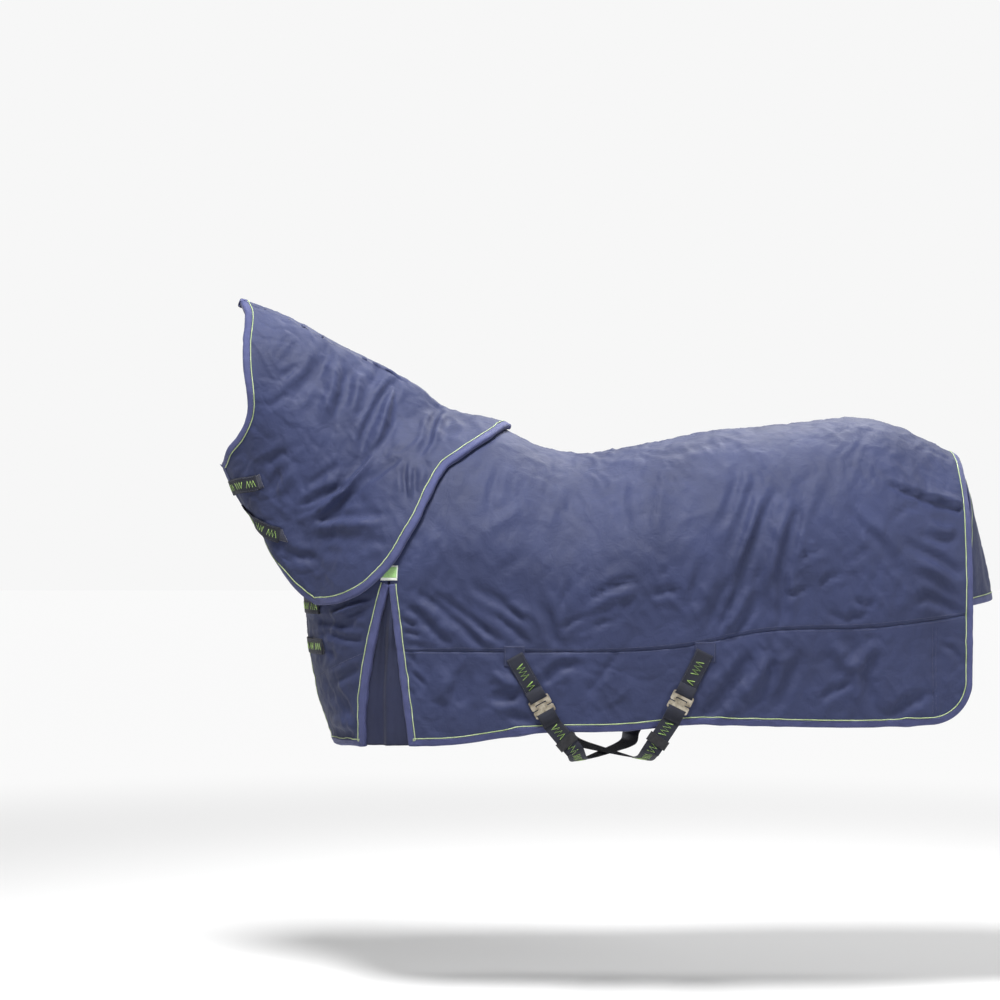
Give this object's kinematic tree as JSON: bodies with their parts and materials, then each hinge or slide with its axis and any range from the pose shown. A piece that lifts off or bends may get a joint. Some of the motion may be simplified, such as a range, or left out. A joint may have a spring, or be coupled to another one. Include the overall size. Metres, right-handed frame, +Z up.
{
  "type": "turnout rug",
  "caption": "Padded waterproof horse turnout rug with a detachable neck cover, shoulder gussets, chest and throat straps, cross surcingles and a tail flap, shaped as worn.",
  "frame": {"origin": "the point on the horse's withers that the rug rests on", "axes": "+X towards the tail, +Y to the horse's right, +Z up"},
  "size_m": [2.0037, 0.6929, 1.1862],
  "materials": {
    "shell": "smooth close-woven polyester, low sheen",
    "fill": "lofted polyester wadding",
    "lining": "smooth nylon taffeta",
    "binding": "ribbed tape",
    "piping": "reflective cord",
    "gusset": "matt close-woven polyester",
    "label": "woven label",
    "hook_loop": "hook and loop",
    "webbing": "woven polypropylene webbing",
    "anchor": "doubled shell cloth",
    "hardware": "antique nickel plate, worn",
    "slider": "moulded black"
  },
  "bodies": {
    "rug": {"outer_shell_back": "shell", "outer_shell_side_left": "shell", "outer_shell_side_right": "shell", "outer_shell_chest_left": "shell", "outer_shell_chest_right": "shell", "fill_back": "fill", "fill_side_left": "fill", "fill_side_right": "fill", "fill_chest_left": "fill", "fill_chest_right": "fill", "lining_back": "lining", "lining_side_left": "lining", "lining_side_right": "lining", "lining_chest_left": "lining", "lining_chest_right": "lining", "hem_binding": "binding", "front_binding": "binding", "hem_piping": "piping", "front_piping_left": "piping", "front_piping_right": "piping", "shoulder_gusset_left": "gusset", "shoulder_gusset_right": "gusset", "gusset_label_left": "label", "gusset_label_right": "label", "chest_loop_patch_upper": "hook_loop", "chest_loop_patch_lower": "hook_loop", "neck_loop_patch": "hook_loop", "front_anchor_left": "anchor", "front_anchor_right": "anchor", "rear_anchor_left": "anchor", "rear_anchor_right": "anchor", "front_strap_left": "webbing", "rear_strap_left": "webbing", "front_belly_strap": "webbing", "rear_belly_strap": "webbing", "front_slot_plate": "hardware", "rear_slot_plate": "hardware", "front_hook": "hardware", "rear_hook": "hardware"},
    "chest_strap_upper": {"chest_strap_upper": "webbing"},
    "chest_strap_lower": {"chest_strap_lower": "webbing"},
    "front_slider": {"front_slider": "slider"},
    "rear_slider": {"rear_slider": "slider"},
    "neck_cover": {"neck_cover_shell": "shell", "neck_cover_fill": "fill", "neck_cover_lining": "lining", "neck_edge_binding": "binding", "neck_front_piping": "piping", "neck_base_piping": "piping", "throat_loop_patch_upper": "hook_loop", "throat_loop_patch_lower": "hook_loop", "neck_hook_patch": "hook_loop"},
    "throat_strap_upper": {"throat_strap_upper": "webbing"},
    "throat_strap_lower": {"throat_strap_lower": "webbing"},
    "tail_flap": {"tail_flap_shell": "shell", "tail_flap_lining": "lining", "tail_flap_binding": "binding", "tail_flap_piping": "piping"}
  },
  "joints": [
    {"name": "neck_cover_lift", "type": "slide", "parent": "rug", "child": "neck_cover", "axis": [-0.8, 0, 0.6], "range_m": [0, 0.8]},
    {"name": "throat_strap_upper_peel", "type": "hinge", "parent": "neck_cover", "child": "throat_strap_upper", "pos_m": [-0.6668, 0.0662, -0.1404], "axis": [0.2026, -0.1062, -0.9735], "range_deg": [0, 90]},
    {"name": "throat_strap_lower_peel", "type": "hinge", "parent": "neck_cover", "child": "throat_strap_lower", "pos_m": [-0.6223, 0.0757, -0.2402], "axis": [0.0683, -0.5669, -0.821], "range_deg": [0, 90]},
    {"name": "chest_strap_upper_peel", "type": "hinge", "parent": "rug", "child": "chest_strap_upper", "pos_m": [-0.4771, 0.1172, -0.4478], "axis": [0.05, -0.0211, -0.9985], "range_deg": [0, 100]},
    {"name": "chest_strap_lower_peel", "type": "hinge", "parent": "rug", "child": "chest_strap_lower", "pos_m": [-0.4675, 0.1173, -0.5505], "axis": [0.1012, -0.0408, -0.994], "range_deg": [0, 100]},
    {"name": "tail_flap_lift", "type": "hinge", "parent": "rug", "child": "tail_flap", "pos_m": [1.18, 0, -0.074], "axis": [0, -1, 0], "range_deg": [0, 90]},
    {"name": "front_slider_slide", "type": "slide", "parent": "rug", "child": "front_slider", "axis": [0.6474, -0.1093, -0.7542], "range_m": [-0.008, 0.01]},
    {"name": "rear_slider_slide", "type": "slide", "parent": "rug", "child": "rear_slider", "axis": [-0.5593, -0.0287, -0.8285], "range_m": [-0.008, 0.01]}
  ]
}
